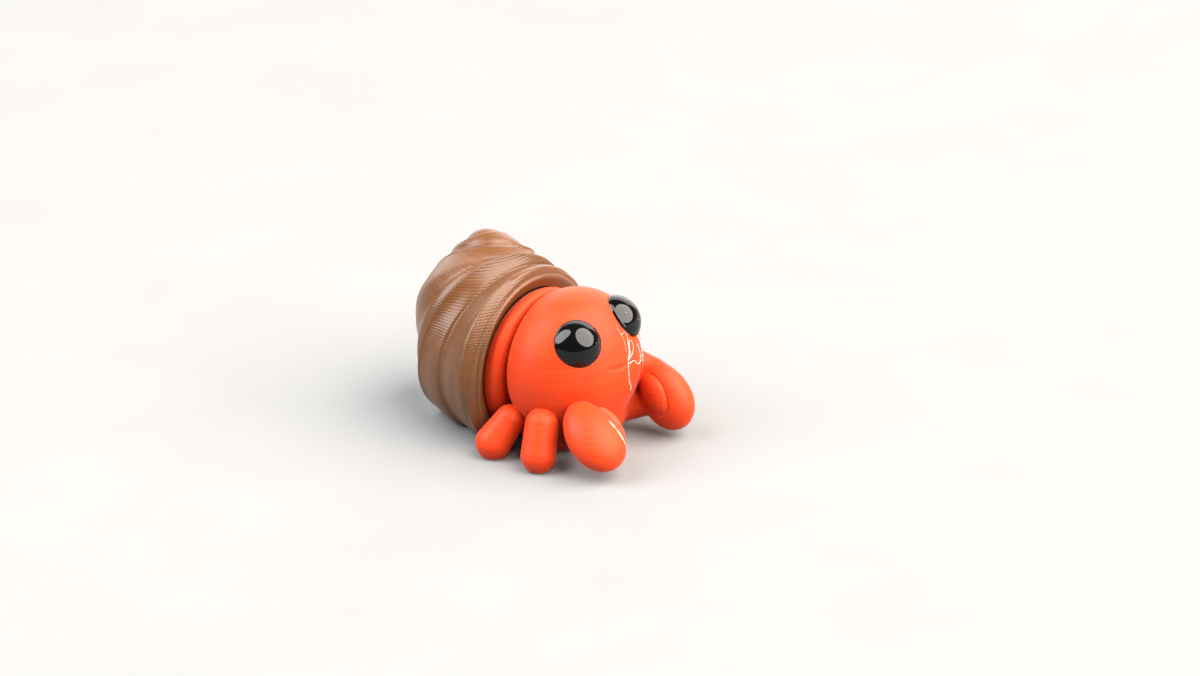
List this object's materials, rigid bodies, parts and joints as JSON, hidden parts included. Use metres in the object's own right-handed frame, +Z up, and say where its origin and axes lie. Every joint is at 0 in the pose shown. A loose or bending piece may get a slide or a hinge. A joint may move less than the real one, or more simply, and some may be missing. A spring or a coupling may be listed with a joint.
{
  "type": "3-d printed toy hermit crab",
  "caption": "Small printed toy hermit crab with a round red head, domed black eyes, stubby legs and pincers, in a brown spiral shell.",
  "frame": {"origin": "bottom centre of the bounding box, on the floor", "axes": "+Z up; the toy faces -Y, so its shell is towards +Y and its left side is +X"},
  "size_m": [0.0174, 0.0242, 0.0147],
  "materials": {
    "shell_plastic": "matte printed plastic with fine level layer lines",
    "crab_plastic": "satin printed plastic with fine level layer lines",
    "eye_gloss": "polished black dome"
  },
  "bodies": {
    "root": {"shell": "shell_plastic", "collar": "crab_plastic", "head": "crab_plastic", "torso": "crab_plastic", "eye_left": "eye_gloss", "eye_right": "eye_gloss", "leg_rear_left": "crab_plastic", "leg_front_left": "crab_plastic", "leg_rear_right": "crab_plastic", "leg_front_right": "crab_plastic", "claw_left": "crab_plastic", "claw_right": "crab_plastic", "finger_left": "crab_plastic", "finger_right": "crab_plastic", "arm_left": "crab_plastic", "arm_right": "crab_plastic", "shoulder_left": "crab_plastic"}
  },
  "joints": []
}
